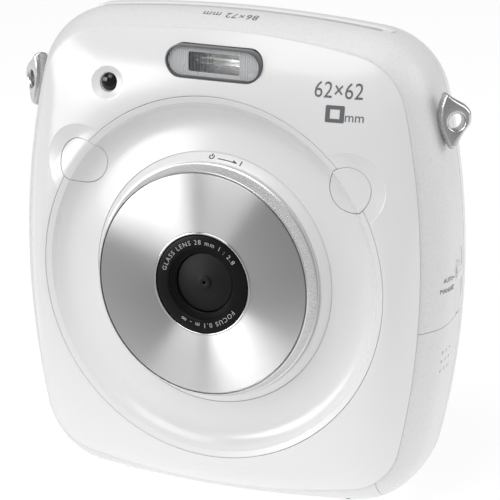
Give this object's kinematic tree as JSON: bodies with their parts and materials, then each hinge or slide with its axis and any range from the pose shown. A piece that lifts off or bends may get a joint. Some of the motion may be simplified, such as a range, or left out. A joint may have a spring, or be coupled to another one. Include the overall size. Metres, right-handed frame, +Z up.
{
  "type": "instant camera",
  "caption": "Square-format instant camera with a dial round the lens, a dished front, two shutter buttons, strap lugs, a film slot on top and a rear screen door.",
  "frame": {"origin": "on the standing surface, under the middle of the camera's bounding box", "axes": "+Z up towards the film slot, +Y towards the rear screen (the lens looks along -Y), +X to the side with the mode switch and battery door"},
  "size_m": [0.1246, 0.0476, 0.1277],
  "materials": {
    "white_abs": "glossy white moulded ABS",
    "grained_band": "fine leather grain, satin",
    "spun_aluminium": "spun, fine concentric lines",
    "chrome": "polished plating",
    "steel": "plain",
    "brass": "machined",
    "black_abs": "satin black moulding",
    "clear": "clear moulded optic",
    "dark_glass": "dark gloss window",
    "green_board": "solder-masked board",
    "rubber": "moulded",
    "grey_abs": "satin grey moulding"
  },
  "bodies": {
    "root": {"battery": "grey_abs", "case_screw_left": "steel", "case_screw_right": "steel", "dish_panel": "white_abs", "drive_motor": "steel", "film_chamber": "black_abs", "film_door_pin": "steel", "film_exit_lip": "white_abs", "film_pack": "black_abs", "flash_capacitor": "black_abs", "flash_reflector": "chrome", "flash_tube": "clear", "flash_window": "clear", "foot_front_left": "rubber", "foot_front_right": "rubber", "foot_rear_left": "rubber", "foot_rear_right": "rubber", "front_shell": "white_abs", "image_sensor_board": "green_board", "lens_barrel": "black_abs", "lens_base_ring": "white_abs", "lens_bezel": "black_abs", "lens_cover_disc": "black_abs", "light_sensor_window": "dark_glass", "main_circuit_board": "green_board", "memory_card_socket": "steel", "mid_band": "grained_band", "print_head": "black_abs", "rear_frame": "white_abs", "strap_lug_left": "chrome", "strap_lug_right": "chrome", "tripod_socket": "steel", "usb_socket": "steel"},
    "power_dial": {"power_ring": "spun_aluminium", "lens_face_plate": "spun_aluminium"},
    "focus_group": {"focus_lens_group": "clear"},
    "shutter_left": {"shutter_button_left": "white_abs"},
    "shutter_right": {"shutter_button_right": "white_abs"},
    "mode_switch": {"mode_switch_knob": "white_abs"},
    "battery_door": {"battery_door": "grained_band"},
    "film_door": {"film_door": "white_abs", "lcd_window": "dark_glass", "lcd_module": "steel"},
    "film_door_latch": {"film_door_latch": "grey_abs"},
    "command_dial": {"command_dial": "grey_abs"},
    "ok_button": {"ok_button": "white_abs"},
    "filter_key": {"filter_key": "white_abs"},
    "vignette_key": {"vignette_key": "white_abs"},
    "brightness_key": {"brightness_key": "white_abs"},
    "print_key": {"print_key": "white_abs"},
    "playback_key": {"playback_key": "white_abs"},
    "back_key": {"back_key": "white_abs"},
    "eject_roller_front": {"eject_roller_front": "steel", "roller_gear_front": "brass"},
    "eject_roller_rear": {"eject_roller_rear": "steel", "roller_gear_rear": "brass"},
    "idler_gear": {"idler_gear": "white_abs"},
    "motor_pinion": {"motor_pinion": "brass"},
    "film_claw": {"film_claw": "steel"},
    "slot_light_shield": {"slot_light_shield": "black_abs"}
  },
  "joints": [
    {"name": "power_dial_turn", "type": "hinge", "parent": "root", "child": "power_dial", "pos_m": [0, -0.0215, 0.0603], "axis": [0, 1, 0], "range_deg": [0, 25], "stiffness_Nm_per_rad": 0.02},
    {"name": "focus_travel", "type": "slide", "parent": "root", "child": "focus_group", "axis": [0, 1, 0], "range_m": [0, 0.0018]},
    {"name": "shutter_left_press", "type": "slide", "parent": "root", "child": "shutter_left", "axis": [0, 1, 0], "range_m": [0, 0.0012], "stiffness_N_per_m": 500},
    {"name": "shutter_right_press", "type": "slide", "parent": "root", "child": "shutter_right", "axis": [0, 1, 0], "range_m": [0, 0.0012], "stiffness_N_per_m": 500},
    {"name": "mode_switch_slide", "type": "slide", "parent": "root", "child": "mode_switch", "axis": [0, 0, -1], "range_m": [0, 0.004]},
    {"name": "battery_door_hinge", "type": "hinge", "parent": "root", "child": "battery_door", "pos_m": [0.0438, -0.003, 0.0019], "axis": [0, 1, 0], "range_deg": [0, 85]},
    {"name": "film_door_hinge", "type": "hinge", "parent": "root", "child": "film_door", "pos_m": [0.0466, 0.0223, 0.0638], "axis": [0, 0, -1], "range_deg": [0, 100]},
    {"name": "film_door_latch_slide", "type": "slide", "parent": "film_door", "child": "film_door_latch", "axis": [0, 0, 1], "range_m": [0, 0.0035], "stiffness_N_per_m": 150},
    {"name": "command_dial_spin", "type": "hinge", "parent": "film_door", "child": "command_dial", "pos_m": [0, 0.0222, 0.0353], "axis": [0, 1, 0], "continuous": true},
    {"name": "ok_button_press", "type": "slide", "parent": "film_door", "child": "ok_button", "axis": [0, -1, 0], "range_m": [0, 0.0008], "stiffness_N_per_m": 400},
    {"name": "filter_key_press", "type": "slide", "parent": "film_door", "child": "filter_key", "axis": [0, -1, 0], "range_m": [0, 0.0006], "stiffness_N_per_m": 400},
    {"name": "vignette_key_press", "type": "slide", "parent": "film_door", "child": "vignette_key", "axis": [0, -1, 0], "range_m": [0, 0.0006], "stiffness_N_per_m": 400},
    {"name": "brightness_key_press", "type": "slide", "parent": "film_door", "child": "brightness_key", "axis": [0, -1, 0], "range_m": [0, 0.0006], "stiffness_N_per_m": 400},
    {"name": "print_key_press", "type": "slide", "parent": "film_door", "child": "print_key", "axis": [0, -1, 0], "range_m": [0, 0.0006], "stiffness_N_per_m": 400},
    {"name": "playback_key_press", "type": "slide", "parent": "film_door", "child": "playback_key", "axis": [0, -1, 0], "range_m": [0, 0.0006], "stiffness_N_per_m": 400},
    {"name": "back_key_press", "type": "slide", "parent": "film_door", "child": "back_key", "axis": [0, -1, 0], "range_m": [0, 0.0006], "stiffness_N_per_m": 400},
    {"name": "eject_roller_front_spin", "type": "hinge", "parent": "root", "child": "eject_roller_front", "pos_m": [0, -0.0046, 0.1123], "axis": [1, 0, 0], "continuous": true},
    {"name": "eject_roller_rear_spin", "type": "hinge", "parent": "root", "child": "eject_roller_rear", "pos_m": [0, 0.0018, 0.1123], "axis": [1, 0, 0], "continuous": true},
    {"name": "idler_gear_spin", "type": "hinge", "parent": "root", "child": "idler_gear", "pos_m": [-0.0452, -0.0046, 0.1047], "axis": [1, 0, 0], "continuous": true},
    {"name": "motor_pinion_spin", "type": "hinge", "parent": "root", "child": "motor_pinion", "pos_m": [-0.0452, -0.01026, 0.1013], "axis": [1, 0, 0], "continuous": true},
    {"name": "film_claw_push", "type": "slide", "parent": "root", "child": "film_claw", "axis": [0, 0, 1], "range_m": [0, 0.008], "stiffness_N_per_m": 20},
    {"name": "slot_light_shield_swing", "type": "hinge", "parent": "root", "child": "slot_light_shield", "pos_m": [0, -0.0029, 0.11815], "axis": [1, 0, 0], "range_deg": [0, 60], "stiffness_Nm_per_rad": 0.0002}
  ],
  "couplings": [
    {"joint": "eject_roller_rear_spin", "follows": "eject_roller_front_spin", "ratio": -1},
    {"joint": "idler_gear_spin", "follows": "eject_roller_front_spin", "ratio": -0.72727},
    {"joint": "motor_pinion_spin", "follows": "eject_roller_front_spin", "ratio": 1.4545}
  ]
}
